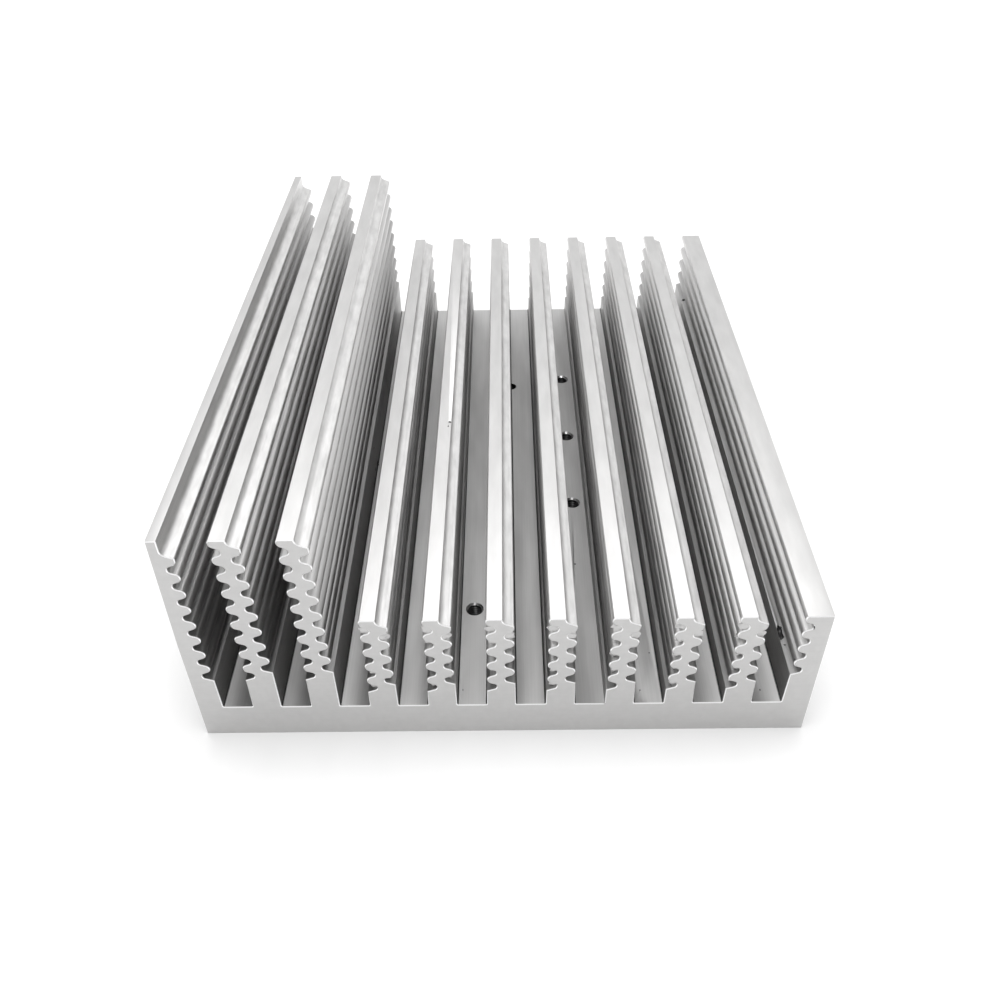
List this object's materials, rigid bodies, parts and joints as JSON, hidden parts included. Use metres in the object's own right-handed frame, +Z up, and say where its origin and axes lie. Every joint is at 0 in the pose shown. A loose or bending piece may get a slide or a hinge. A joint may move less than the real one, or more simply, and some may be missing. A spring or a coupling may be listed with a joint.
{
  "type": "extruded heat sink",
  "caption": "Extruded aluminium heat sink: ribbed fins, taller on one side, on a flat base plate with small tapped holes.",
  "frame": {"origin": "middle of the underside of the base plate", "axes": "+Y along the extrusion, towards the far cut end; +Z up from the underside, along the fins; +X across the fins, from the tall ones to the short ones"},
  "size_m": [0.1, 0.13, 0.044],
  "materials": {
    "aluminium": "satin, as extruded, with fine lines along the length; sawn ends"
  },
  "bodies": {
    "root": {"heat_sink": "aluminium"}
  },
  "joints": []
}
